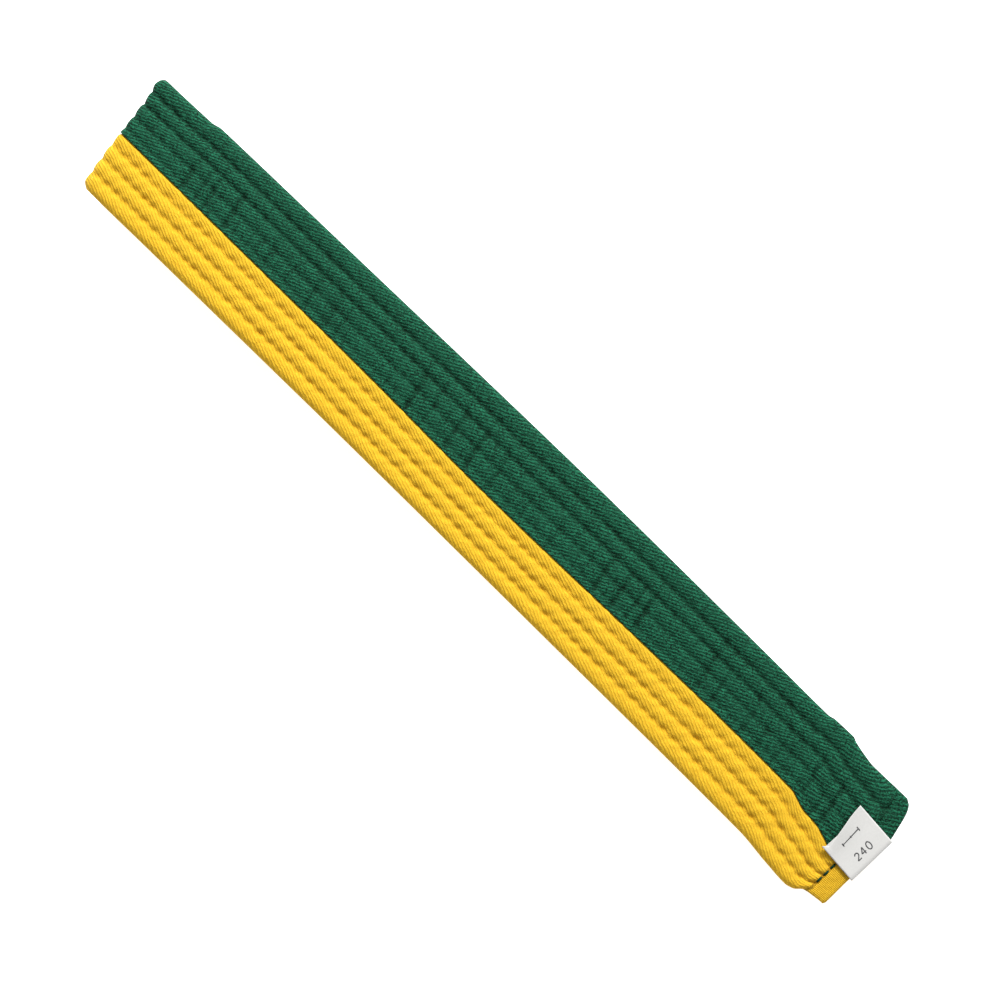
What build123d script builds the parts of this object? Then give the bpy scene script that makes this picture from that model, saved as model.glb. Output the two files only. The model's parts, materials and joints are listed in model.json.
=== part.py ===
"""Two-colour martial arts belt, folded into a flat concertina of eight layers.

Row frame: X along the layers, Y across the belt, Z up. The stack lies on Z = 0, centred on X and Y.
The labelled free end is on top at +X, and the green half of the width is on the +Y side.
Each layer is one rigid span of the belt. Fold k joins layer k to layer k + 1 above it.
"""

import math
import os

from build123d import *

# The belt, laid out flat
BELT_LENGTH = 2400.0
BELT_WIDTH = 42.0
BELT_THICKNESS = 2.8
COLOUR_SPLIT_Y = -2.5
COVER_THICKNESS = 0.5
CORE_CLEARANCE = 0.05
EDGE_CHAMFER = 0.9

# Rows of quilting and the ridges between them
STITCH_ROWS_Y = (-15.8, -11.1, -6.3, -0.2, 4.7, 10.0, 14.9)
GROOVE_DEPTH = 0.5
GROOVE_HALF_WIDTH = 1.1
VALLEY_HALF_WIDTH = 0.3
THREAD_WIDTH = 0.5
THREAD_HEIGHT = 0.25

# The folded stack
LAYERS = 8
LAYER_GAP = 0.3
STACK_LENGTH = 308.0
FOLD_INSETS = (1.0, 1.0, 1.0, 1.0, 15.0, 7.0, 0.0)  # how far fold 1 to 7 stands back from the stack's end
HINGE_CLEARANCE = 0.3

# The sewn free ends, where both covers are turned in to make a solid hem
END_HEM = 5.0
END_ROW_FROM_END = 6.0
END_CHANNEL_WIDTH = 0.8
END_CHANNEL_DEPTH = 0.3
END_STITCH_LENGTH = 2.4
END_STITCH_WIDTH = 0.5
END_STITCH_HEIGHT = 0.2
ROWS_STOP_FROM_END = 6.6

# The size label: a satin strip sewn under the end, which turns over the edge and lies on the top.
# Its stitches pull the tail up into a shallow seat in the soft underside.
LABEL_WIDTH = 16.2
LABEL_FLAP_LENGTH = 14.6
LABEL_TAIL_LENGTH = 4.0
LABEL_THICKNESS = 0.3
LABEL_CLEARANCE = 0.05
LABEL_SEAT_DEPTH = 0.45
LABEL_STITCHES = 4
LABEL_STITCH_PITCH = 3.6
LABEL_STITCH_LENGTH = 2.4
LABEL_STITCH_WIDTH = 0.4
LABEL_STITCH_HEIGHT = 0.1
LABEL_SEAM_FROM_END = 2.4

# Worked out from the above
HALF_WIDTH = BELT_WIDTH / 2
HALF_THICKNESS = BELT_THICKNESS / 2
PITCH = BELT_THICKNESS + LAYER_GAP
FOLD_OUTER_RADIUS = LAYER_GAP / 2 + BELT_THICKNESS
FOLD_MIDDLE_RADIUS = PITCH / 2
BELT_END_X = STACK_LENGTH / 2 - LABEL_CLEARANCE - LABEL_THICKNESS
TOP_Z = LAYERS * BELT_THICKNESS + (LAYERS - 1) * LAYER_GAP
LABEL_TAIL_TOP_Z = TOP_Z - BELT_THICKNESS + LABEL_SEAT_DEPTH - LABEL_CLEARANCE


def layer_z(layer):
    """Height of the middle of a layer, counted from 1 at the bottom."""
    return HALF_THICKNESS + (layer - 1) * PITCH


def fold_side(fold):
    """-1 for a fold at the -X end of the stack, and 1 at the +X end."""
    return -1 if fold % 2 else 1


def fold_x(fold):
    """X of a fold's hinge axis, which is the centre of its bend."""
    return fold_side(fold) * (STACK_LENGTH / 2 - FOLD_INSETS[fold - 1] - FOLD_OUTER_RADIUS)


def fold_z(fold):
    """Z of a fold's hinge axis, in the middle of the gap between its two layers."""
    return layer_z(fold) + PITCH / 2


def bottom_end_x():
    """X of the hidden free end of layer 1, which takes up what is left of the belt's length."""
    spans = sum(abs(fold_x(fold + 1) - fold_x(fold)) for fold in range(1, LAYERS - 1))
    top_span = BELT_END_X - fold_x(LAYERS - 1)
    bends = (LAYERS - 1) * math.pi * FOLD_MIDDLE_RADIUS
    return fold_x(1) + BELT_LENGTH - spans - top_span - bends


def layer_span(layer):
    """(start, end) of a layer along X, from its lower fold to its upper fold or free end."""
    if layer == 1:
        return bottom_end_x(), fold_x(1)
    start = fold_x(layer - 1) - fold_side(layer - 1) * HINGE_CLEARANCE
    end = BELT_END_X if layer == LAYERS else fold_x(layer)
    return start, end


def half_path(side, inset):
    """Points (y, z) round one colour's half, from the split on top, round the edge, to the split below.

    side is 1 for the green half and -1 for the yellow one; inset moves the whole outline inwards.
    """
    ridge = HALF_THICKNESS - inset
    valley = ridge - GROOVE_DEPTH
    edge = side * (HALF_WIDTH - inset)
    rows = sorted((y for y in STITCH_ROWS_Y if (y - COLOUR_SPLIT_Y) * side > 0), key=lambda y: y * side)
    top = [(COLOUR_SPLIT_Y, ridge)]
    for row in rows:
        top.append((row - side * GROOVE_HALF_WIDTH, ridge))
        top.append((row - side * VALLEY_HALF_WIDTH, valley))
        top.append((row + side * VALLEY_HALF_WIDTH, valley))
        top.append((row + side * GROOVE_HALF_WIDTH, ridge))
    chamfer = EDGE_CHAMFER - inset / 2
    top.append((edge - side * chamfer, ridge))
    top.append((edge, ridge - chamfer))
    return top + [(y, -z) for y, z in reversed(top)]


def section(points, x, z):
    """A face across the belt at x, with its middle at height z."""
    return make_face(Polyline(*[(x, y, z + dz) for y, dz in points], close=True))


def cover_points(side):
    """The C-shaped section of one colour's cover."""
    return half_path(side, 0) + half_path(side, COVER_THICKNESS)[::-1]


def core_points():
    """The section of the wadding, which fills both covers."""
    inset = COVER_THICKNESS + CORE_CLEARANCE
    return half_path(1, inset) + half_path(-1, inset)[-2:0:-1]


def block(x_range, y_range, z_range):
    """A box between three pairs of limits."""
    limits = (x_range, y_range, z_range)
    centre = [sum(pair) / 2 for pair in limits]
    size = [abs(pair[1] - pair[0]) for pair in limits]
    return Pos(*centre) * Box(*size)


def prism(points, start, end, z):
    """A section drawn out along X from start to end."""
    return extrude(section(points, start, z), amount=abs(end - start), dir=(math.copysign(1, end - start), 0, 0))


def free_end(layer):
    """(x of the free end, direction towards it) of the bottom or top layer, or None."""
    if layer == 1:
        return bottom_end_x(), 1
    if layer == LAYERS:
        return BELT_END_X, 1
    return None


def label_seat():
    """What the label's tail and its clearance take out of the top layer's underside."""
    underside = TOP_Z - BELT_THICKNESS
    return block(
        (BELT_END_X - LABEL_TAIL_LENGTH - LABEL_CLEARANCE, BELT_END_X + LABEL_CLEARANCE),
        (-LABEL_WIDTH / 2 - LABEL_CLEARANCE, LABEL_WIDTH / 2 + LABEL_CLEARANCE),
        (underside - LABEL_SEAT_DEPTH, underside + LABEL_SEAT_DEPTH),
    )


def cover(layer, side):
    """One colour's cover along a layer; it closes over the core at a free end."""
    start, end = layer_span(layer)
    shell = prism(cover_points(side), start, end, layer_z(layer))
    if free_end(layer) is None:
        return shell
    tip, outward = free_end(layer)
    shell += prism(half_path(side, 0), tip - outward * END_HEM, tip, layer_z(layer))
    for face in (-1, 1):
        surface = layer_z(layer) + face * HALF_THICKNESS
        row_x = tip - outward * END_ROW_FROM_END
        shell -= block(
            (row_x - END_CHANNEL_WIDTH / 2, row_x + END_CHANNEL_WIDTH / 2),
            (-BELT_WIDTH, BELT_WIDTH),
            (surface - face * END_CHANNEL_DEPTH, surface + face * END_CHANNEL_DEPTH),
        )
    if layer == LAYERS:
        shell -= label_seat()
    return shell


def trimmed_span(layer, back_from_end):
    """A layer's span, stopped short of a free end."""
    start, end = layer_span(layer)
    if layer == 1:
        return start - back_from_end, end
    if layer == LAYERS:
        return start, end - back_from_end
    return start, end


def core(layer):
    """The wadding along a layer."""
    start, end = trimmed_span(layer, END_HEM + CORE_CLEARANCE)
    return prism(core_points(), start, end, layer_z(layer))


def stitching(layer):
    """The quilting threads of a layer, lying in the valleys of both faces."""
    span = trimmed_span(layer, ROWS_STOP_FROM_END)
    valley = HALF_THICKNESS - GROOVE_DEPTH
    threads = []
    for row in STITCH_ROWS_Y:
        for face in (-1, 1):
            floor = layer_z(layer) + face * valley
            y_range = (row - THREAD_WIDTH / 2, row + THREAD_WIDTH / 2)
            threads.append(block(span, y_range, (floor, floor + face * THREAD_HEIGHT)))
    return Compound(threads)


def bend(fold, points):
    """A section turned half round a fold's axis, from the lower layer to the upper one."""
    centre = (fold_x(fold), 0, fold_z(fold))
    axis = Axis(centre, (0, -fold_side(fold), 0))
    return revolve(section(points, fold_x(fold), layer_z(fold)), axis, 180)


def end_stitching(layer):
    """The row of stitches across a free end, one on each ridge, sunk below both faces."""
    tip, outward = free_end(layer)
    row_x = tip - outward * END_ROW_FROM_END
    borders = (-HALF_WIDTH, *STITCH_ROWS_Y, HALF_WIDTH)
    stitches = []
    for low, high in zip(borders, borders[1:]):
        middle = (low + high) / 2
        for face in (-1, 1):
            floor = layer_z(layer) + face * (HALF_THICKNESS - END_CHANNEL_DEPTH)
            x_range = (row_x - END_STITCH_WIDTH / 2, row_x + END_STITCH_WIDTH / 2)
            y_range = (middle - END_STITCH_LENGTH / 2, middle + END_STITCH_LENGTH / 2)
            stitches.append(block(x_range, y_range, (floor, floor + face * END_STITCH_HEIGHT)))
    return Compound(stitches)


def label_flap():
    """The part of the label that lies on top of the belt and can be turned over."""
    x_range = (BELT_END_X - LABEL_FLAP_LENGTH, BELT_END_X - HINGE_CLEARANCE)
    z_range = (TOP_Z + LAYER_GAP, TOP_Z + LAYER_GAP + LABEL_THICKNESS)
    return block(x_range, (-LABEL_WIDTH / 2, LABEL_WIDTH / 2), z_range)


def label_tail():
    """The part of the label that goes down the belt's end and under it, where it is sewn."""
    outer_x = BELT_END_X + LABEL_CLEARANCE + LABEL_THICKNESS
    under_z = LABEL_TAIL_TOP_Z
    y_range = (-LABEL_WIDTH / 2, LABEL_WIDTH / 2)
    down = block((outer_x - LABEL_THICKNESS, outer_x), y_range, (under_z, TOP_Z - HINGE_CLEARANCE / 2))
    under = block((BELT_END_X - LABEL_TAIL_LENGTH, outer_x), y_range, (under_z - LABEL_THICKNESS, under_z))
    return down + under


def label_seam():
    """The stitches that hold the label's tail to the underside of the top layer."""
    z_high = LABEL_TAIL_TOP_Z - LABEL_THICKNESS
    seam_x = BELT_END_X - LABEL_SEAM_FROM_END
    stitches = []
    for number in range(LABEL_STITCHES):
        y = (number - (LABEL_STITCHES - 1) / 2) * LABEL_STITCH_PITCH
        x_range = (seam_x - LABEL_STITCH_WIDTH / 2, seam_x + LABEL_STITCH_WIDTH / 2)
        y_range = (y - LABEL_STITCH_LENGTH / 2, y + LABEL_STITCH_LENGTH / 2)
        stitches.append(block(x_range, y_range, (z_high - LABEL_STITCH_HEIGHT, z_high)))
    return Compound(stitches)


def all_nodes():
    """Every node of the belt, by name."""
    nodes = {}
    for layer in range(1, LAYERS + 1):
        nodes[f"layer_{layer}_green_cover"] = cover(layer, 1)
        nodes[f"layer_{layer}_yellow_cover"] = cover(layer, -1)
        nodes[f"layer_{layer}_core"] = core(layer)
        nodes[f"layer_{layer}_stitching"] = stitching(layer)
    for fold in range(1, LAYERS):
        nodes[f"fold_{fold}_green_cover"] = bend(fold, cover_points(1))
        nodes[f"fold_{fold}_yellow_cover"] = bend(fold, cover_points(-1))
        nodes[f"fold_{fold}_core"] = bend(fold, core_points())
    nodes["end_stitching_bottom"] = end_stitching(1)
    nodes["end_stitching_top"] = end_stitching(LAYERS)
    nodes["size_label_flap"] = label_flap()
    nodes["size_label_tail"] = label_tail()
    nodes["size_label_seam"] = label_seam()
    return nodes


os.makedirs("parts", exist_ok=True)
for name, shape in all_nodes().items():
    export_step(shape, f"parts/{name}.step")

print("belt thickness and stack height:", BELT_THICKNESS, TOP_Z)
for number in range(1, LAYERS):
    print(f"fold {number} axis at x = {fold_x(number):.3f}, z = {fold_z(number):.3f}")
print(f"hidden free end at x = {bottom_end_x():.3f}, labelled free end at x = {BELT_END_X:.3f}")
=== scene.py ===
"""A two-colour martial arts belt, folded into a flat concertina of eight layers.

Lengths are in millimetres until a mesh is made. The belt is described by three coordinates: s runs along
it from the hidden free end to the labelled one, v runs across it from the yellow edge to the green one,
and n is the height above its middle surface. place() turns them into a point of the row frame.
"""

import json
import math

import bpy
import numpy as np
from mathutils import Matrix, Vector

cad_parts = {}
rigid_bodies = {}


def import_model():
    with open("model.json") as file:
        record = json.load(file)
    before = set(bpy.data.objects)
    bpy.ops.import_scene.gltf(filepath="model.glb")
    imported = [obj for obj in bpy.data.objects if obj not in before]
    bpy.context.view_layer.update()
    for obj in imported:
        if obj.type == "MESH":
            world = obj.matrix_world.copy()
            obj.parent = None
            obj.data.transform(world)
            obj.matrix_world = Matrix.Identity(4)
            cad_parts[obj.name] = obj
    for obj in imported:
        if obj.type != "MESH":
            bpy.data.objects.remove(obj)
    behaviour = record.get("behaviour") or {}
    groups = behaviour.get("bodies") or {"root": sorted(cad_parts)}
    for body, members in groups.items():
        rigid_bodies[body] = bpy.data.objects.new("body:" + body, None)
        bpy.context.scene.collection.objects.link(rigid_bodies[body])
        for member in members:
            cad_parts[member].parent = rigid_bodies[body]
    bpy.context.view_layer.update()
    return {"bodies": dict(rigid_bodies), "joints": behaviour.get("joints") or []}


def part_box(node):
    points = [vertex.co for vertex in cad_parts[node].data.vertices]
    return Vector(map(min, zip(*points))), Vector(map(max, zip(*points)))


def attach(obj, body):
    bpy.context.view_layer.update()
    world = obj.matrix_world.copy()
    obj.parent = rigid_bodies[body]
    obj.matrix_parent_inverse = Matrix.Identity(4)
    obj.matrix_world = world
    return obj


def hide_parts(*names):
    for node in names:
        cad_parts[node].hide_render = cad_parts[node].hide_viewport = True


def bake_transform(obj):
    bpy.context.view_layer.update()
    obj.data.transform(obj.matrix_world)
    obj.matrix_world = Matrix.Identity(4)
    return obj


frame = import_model()

MM = 0.001
SEED = 419

# ---------------------------------------------------------------- sizes read from the frame


def node_box(node):
    """(lowest, highest) corner of a CAD node in millimetres."""
    return tuple(np.array(corner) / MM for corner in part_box(node))


LAYERS = sum(body.startswith("layer_") for body in frame["bodies"])
JOINTS = {joint["name"]: joint for joint in frame["joints"]}
LAYER_BOXES = [node_box(f"layer_{k}_green_cover") for k in range(1, LAYERS + 1)]
LAYER_Z = [(low[2] + high[2]) / 2 for low, high in LAYER_BOXES]
HINGES = [np.array(JOINTS[f"fold_{k}"]["pos_m"]) / MM for k in range(1, LAYERS)]
HALF_WIDTH = LAYER_BOXES[0][1][1]
SPLIT = LAYER_BOXES[0][0][1]
HALF_THICKNESS = (LAYER_BOXES[0][1][2] - LAYER_BOXES[0][0][2]) / 2
BEND_RADIUS = (LAYER_Z[1] - LAYER_Z[0]) / 2
TOP_Z = LAYER_Z[-1] + HALF_THICKNESS
LOWER_END_X = LAYER_BOXES[0][1][0]
LABELLED_END_X = LAYER_BOXES[-1][1][0]

# ---------------------------------------------------------------- the quilting

ROW_V = (-16.0, -11.4, -6.7, -0.2, 4.7, 10.0, 14.9)
ROW_DEPTH = (0.44, 0.44, 0.42, 0.14, 0.26, 0.46, 0.52)
ROW_WIDTH = (0.85, 0.85, 0.85, 0.7, 0.8, 0.85, 0.95)
ROW_PUCKER = (0.16, 0.16, 0.16, 0.08, 0.11, 0.14, 0.15)
STRIP_CROWN = (0.40, 0.40, 0.40, 0.22, 0.30, 0.38, 0.40, 0.40)
ROW_UNEVENNESS = 0.22  # how much the pull of the stitches changes along a row
STITCH_PITCH = 4.4
STITCH_DRIFT = 0.16  # how far a hole wanders along its row, as a share of the pitch
DRIFT_LENGTH, PULL_LENGTH, PATCH_LENGTH = 31, 19, 47  # the waves of the drift, the pull and the patches of creases
STITCH_SLANT = {-1: -1.3, 1: 1.1}  # how far the puckers lean on the yellow and the green half
SLANT_REACH = 3.0
PUCKER_REACH = 1.9
RIDGE_HEIGHT = 1.10
LAYER_LIMIT = 1.5  # no surface stands further from its layer's middle, or the folds would catch it
TAUT_SHARE = 0.75  # how much of the quilting is pulled flat in the middle of a bend
CROSS_PUCKER_DEPTH = 0.65  # creases across the green rows beside the split
CROSS_PUCKER_LENGTH = 4.9
EDGE_ROUND = 2.0
EDGE_CREASE_V = 18.9  # a faint pressed line near the green edge
EDGE_CREASE_DEPTH = 0.07
EDGE_CREASE_WIDTH = 0.4
LUMP_HEIGHT = 0.035
LOOSE_HEIGHT = 0.07  # the puffed folds next to a hem
LOOSE_FROM, LOOSE_LENGTH = 12.0, 12.0
LAP_HEIGHT, LAP_MIDDLE, LAP_WIDTH = 0.18, 0.5, 1.3  # the green edge over the yellow one
TUCK_DEPTH, TUCK_WIDTH = 0.30, 0.8
END_ROUND = 1.1
END_SLIMMING = 0.97

HEM_LENGTH = 6.0
HEM_RAMP = 1.8  # the quilting flattens over this, from a little past the row across the end
HEM_RAMP_PAST = 1.2
HEM_ROW_DEPTH = 0.42
HEM_ROW_WIDTH = 0.75
HEM_STITCH_PITCH = 3.9
HEM_STITCH_LENGTH = 3.1
HEM_STITCHES_V = (-13.7, 19.0)

# ---------------------------------------------------------------- the top layer's outline
# Along: distance back from the labelled end. Out: how far an edge stands past the CAD's straight edge,
# or how far the colour split lies towards the green.

GREEN_OUT = (
    (0, -1.6), (16, -1.7), (22, -1.0), (26, -0.1), (27.5, 0.5), (34.5, 0.4), (37, -0.1), (64, 0.3),
    (140, 1.0), (243, 0.4), (286, 0.1), (289, -0.6), (305, -0.9),
)
SPLIT_OUT = (
    (0, -5.0), (8, -4.5), (15, -2.4), (18, -1.6), (23, -1.2), (26, -0.4), (30, 0.8), (64, 1.2), (150, 0.4),
    (210, 1.4), (305, 1.8),
)
YELLOW_OUT = (
    (0, -1.7), (3, -1.4), (6.5, -0.8), (9, 1.1), (12, 1.8), (21, 1.2), (32, 0.1), (94, -0.5), (240, -1.1),
    (305, -0.8),
)
# How far the labelled end stands back from its furthest point, as (y, distance)
END_BACK = ((-20, 1.2), (-18.3, 0.5), (-10, 0.3), (6, -0.5), (12, 0.5), (16, 1.5), (18.3, 2.7), (19.6, 4.4))
END_BACK_FADES_OVER = 25.0
# How far the visible fold stands in from its hinge line, as (y, distance), and how much more its top does
FOLD_IN = ((-21, 3.0), (-18.5, 1.8), (-12, 0.7), (0, -0.9), (12, -1.7), (17, -2.1), (21, -1.6))
FOLD_LIP = ((-21, 1.0), (-12, 0.4), (0, 0.0), (12, -0.6), (17, -1.5), (21, -1.4))
FOLD_FADES_OVER = 25.0
FOLD_LIP_FROM, FOLD_LIP_OVER = 1.65, 0.6  # turn of the bend, in radians
# How far the corners of the folds under the labelled end stand in, as (y, distance)
HIDDEN_CORNER_IN = ((-21, 1.2), (-17, 0.0), (11, 0.0), (16, 1.0), (20, 3.4))
HIDDEN_CORNER_FADES_OVER = 14.0
# The hidden layers are a little narrower and wander a little, so that no two edges line up
HIDDEN_GREEN_OUT = {"labelled": -1.7, "folded": -0.9}
HIDDEN_YELLOW_OUT = -1.4
HIDDEN_WANDER = 0.2
HIDDEN_WANDER_STEP = 2.4  # radians from fold to fold

# The waves of wander(), as shares of its length, and what brings their sum to between about -1 and 1
WAVE_LENGTHS = (0.63, 0.87, 1.21, 1.73)
WAVE_SCALE = 2.4


def smoothstep(t):
    """0 below 0, 1 above 1, and a smooth ramp between."""
    t = np.clip(t, 0.0, 1.0)
    return t * t * (3 - 2 * t)


def curve_through(points, t):
    """A smooth curve through (t, value) points that never overshoots them, held level beyond its ends."""
    at, value = (np.array(column, float) for column in zip(*points))
    rise = np.diff(value) / np.diff(at)
    slope = np.zeros(len(at))
    product = rise[:-1] * rise[1:]
    slope[1:-1] = np.where(product > 0, 2 * product / np.where(product > 0, rise[:-1] + rise[1:], 1.0), 0.0)
    t = np.clip(t, at[0], at[-1])
    i = np.clip(np.searchsorted(at, t) - 1, 0, len(at) - 2)
    width = at[i + 1] - at[i]
    u = (t - at[i]) / width
    from_start = value[i] * (1 + 2 * u) * (1 - u) ** 2 + slope[i] * width * u * (1 - u) ** 2
    from_end = value[i + 1] * u * u * (3 - 2 * u) + slope[i + 1] * width * u * u * (u - 1)
    return from_start + from_end


def wander(t, length, seed):
    """A smooth, repeatable wobble between about -1 and 1, with waves of about that length."""
    phases = np.random.default_rng(SEED + seed).uniform(0, 2 * np.pi, len(WAVE_LENGTHS))
    waves = (np.sin(2 * np.pi * t / (length * wave) + phase) for wave, phase in zip(WAVE_LENGTHS, phases))
    return sum(waves) / WAVE_SCALE


# ---------------------------------------------------------------- the path of the belt

STRAIGHT = [LOWER_END_X, *(hinge[0] for hinge in HINGES), LABELLED_END_X]
RUNS = np.abs(np.diff(STRAIGHT))
ARC = math.pi * BEND_RADIUS
LAYER_START = np.array([sum(RUNS[:k]) + k * ARC for k in range(LAYERS)])
BELT_LENGTH = LAYER_START[-1] + RUNS[-1]


def top_outline(back):
    """y of the top layer's yellow edge, split and green edge at a distance back from the labelled end."""
    yellow = -HALF_WIDTH - curve_through(YELLOW_OUT, back)
    split = SPLIT + curve_through(SPLIT_OUT, back)
    green = HALF_WIDTH + curve_through(GREEN_OUT, back)
    return yellow, split, green


def hidden_outline(place_in_belt):
    """The same at the hidden free end (0) or at one of the hidden folds, which turn by turn lie at either end."""
    shift = HIDDEN_WANDER * math.cos(HIDDEN_WANDER_STEP * place_in_belt)
    green_out = HIDDEN_GREEN_OUT["folded" if place_in_belt % 2 else "labelled"]
    return -HALF_WIDTH - HIDDEN_YELLOW_OUT + shift, SPLIT + shift, HALF_WIDTH + green_out + shift


class Station:
    """Where the belt's middle line is at each s, which way its N side faces, and its outline there."""

    def __init__(self, s):
        s = np.asarray(s, float)
        self.s = s
        self.layer = np.clip(np.searchsorted(LAYER_START, s, side="right") - 1, 0, LAYERS - 1)
        run = s - LAYER_START[self.layer]
        length = RUNS[self.layer]
        heading = np.where(self.layer % 2, 1.0, -1.0)
        hinge = np.array(HINGES)[np.minimum(self.layer, LAYERS - 2)]
        self.in_fold = (run > length) & (self.layer < LAYERS - 1)
        self.turn = np.where(self.in_fold, (run - length) / BEND_RADIUS, 0.0)
        start_x = np.array(STRAIGHT)[self.layer]
        out_x = heading * np.sin(self.turn)
        out_z = -np.cos(self.turn)
        self.x = np.where(self.in_fold, hinge[:, 0] + BEND_RADIUS * out_x, start_x + heading * run)
        self.z = np.where(self.in_fold, hinge[:, 2] + BEND_RADIUS * out_z, np.array(LAYER_Z)[self.layer])
        outward = -heading
        self.normal_x = np.where(self.in_fold, outward * out_x, 0.0)
        self.normal_z = np.where(self.in_fold, outward * out_z, heading)
        self.yellow, self.split, self.green = self.outline(run / length)
        self.to_end = np.minimum(s, BELT_LENGTH - s)
        self.on_top = self.layer == LAYERS - 1
        self.fold_7 = self.in_fold & (self.layer == LAYERS - 2)

    def outline(self, share):
        """y of the yellow edge, the split and the green edge."""
        top = top_outline(LABELLED_END_X - self.x)
        anchors = np.array([*(hidden_outline(k) for k in range(LAYERS - 1)), *[top_outline(RUNS[-1])] * 2])
        t = smoothstep(share)[:, None]
        hidden = anchors[self.layer] * (1 - t) + anchors[np.minimum(self.layer + 1, LAYERS)] * t
        return (np.where(self.layer == LAYERS - 1, seen, hidden[:, i]) for i, seen in enumerate(top))


def across(station, v):
    """y of the belt's v coordinate, one row for each station."""
    yellow, split, green = (line[:, None] for line in (station.yellow, station.split, station.green))
    on_yellow = yellow + (v + HALF_WIDTH) / (SPLIT + HALF_WIDTH) * (split - yellow)
    on_green = split + (v - SPLIT) / (HALF_WIDTH - SPLIT) * (green - split)
    return np.where(v < SPLIT, on_yellow, on_green)


def place(station, v, n):
    """Points of the row frame, in millimetres, for every station (rows) and every v and n (columns)."""
    y = across(station, v)
    x = station.x[:, None] + station.normal_x[:, None] * n
    z = station.z[:, None] + station.normal_z[:, None] * n
    top = station.on_top[:, None]
    near_end = smoothstep(1 - (BELT_LENGTH - station.s) / END_BACK_FADES_OVER)[:, None]
    x = x - np.where(top, curve_through(END_BACK, y) * near_end, 0.0)
    from_fold_7 = np.abs(station.s - (LAYER_START[-1] - ARC / 2))[:, None]
    near_fold = smoothstep(1 - from_fold_7 / FOLD_FADES_OVER)
    lip = smoothstep((station.turn[:, None] - FOLD_LIP_FROM) / FOLD_LIP_OVER) * station.fold_7[:, None]
    lip = np.where(top, smoothstep(1 - (station.s - LAYER_START[-1])[:, None] / FOLD_FADES_OVER), lip)
    x = x + curve_through(FOLD_IN, y) * near_fold + curve_through(FOLD_LIP, y) * lip
    right_folds = LAYER_START[2::2] - ARC / 2
    from_right = np.abs(station.s[:, None] - np.array([0.0, *right_folds])).min(axis=1)[:, None]
    near_right = smoothstep(1 - from_right / HIDDEN_CORNER_FADES_OVER)
    x = x - curve_through(HIDDEN_CORNER_IN, y) * near_right
    return np.stack([x, y, z], axis=-1)


# ---------------------------------------------------------------- the quilted surface


def hem_share(station):
    """0 along the quilting and 1 in the hem beyond the row across a free end."""
    return smoothstep((HEM_LENGTH + HEM_RAMP_PAST - station.to_end) / HEM_RAMP)


def bell(distance, width):
    """1 at no distance, falling away smoothly over about that width."""
    return np.exp(-((distance / width) ** 2))


def drift(s, row, face):
    """How far the holes of a row have wandered along it, as a share of the pitch."""
    return STITCH_DRIFT * wander(s, DRIFT_LENGTH, 10 * row + face)


def row_relief(station, v, face):
    """How deep the rows of stitches pull the surface in: a groove along each, and a pucker at each hole."""
    s = station.s[:, None]
    slant = np.where(v < SPLIT, STITCH_SLANT[-1], STITCH_SLANT[1])
    relief = np.zeros((len(s), len(v)))
    for i, row in enumerate(ROW_V):
        off = np.abs(v - row)
        leaning = s + slant * (v - row) * np.exp(-off / SLANT_REACH)
        hole = 0.5 + 0.5 * np.cos(2 * np.pi * (leaning / STITCH_PITCH + drift(s, i, face)))
        strength = 1 + ROW_UNEVENNESS * wander(s, PULL_LENGTH, 50 + 10 * i + face)
        width = ROW_WIDTH[i] * (0.85 + 0.3 * hole)
        groove = ROW_DEPTH[i] * (0.7 + 0.3 * hole) * strength * np.exp(-((off / width) ** 1.7))
        puckers = ROW_PUCKER[i] * (hole - 0.5) * strength * bell(off, PUCKER_REACH)
        relief += np.where((v < SPLIT) == (row < SPLIT), groove + puckers, 0.0)
    return relief


def cross_puckers(station, v, face):
    """How deep the creases across the green rows are, in patches along the belt."""
    s = station.s[:, None]
    near_split = 0.35 * smoothstep((15.5 - v) / 2) + 0.65 * smoothstep((10.5 - v) / 2.5)
    band = smoothstep((v + 3.2) / 1.2) * near_split
    crossing = np.clip(wander(s + 0.15 * v, CROSS_PUCKER_LENGTH, 90 + face) + 0.10, 0, 1) ** 1.4
    patches = np.clip(0.7 + 0.5 * wander(s, PATCH_LENGTH, 95 + face), 0, 1)
    return CROSS_PUCKER_DEPTH * crossing * patches * band


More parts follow.
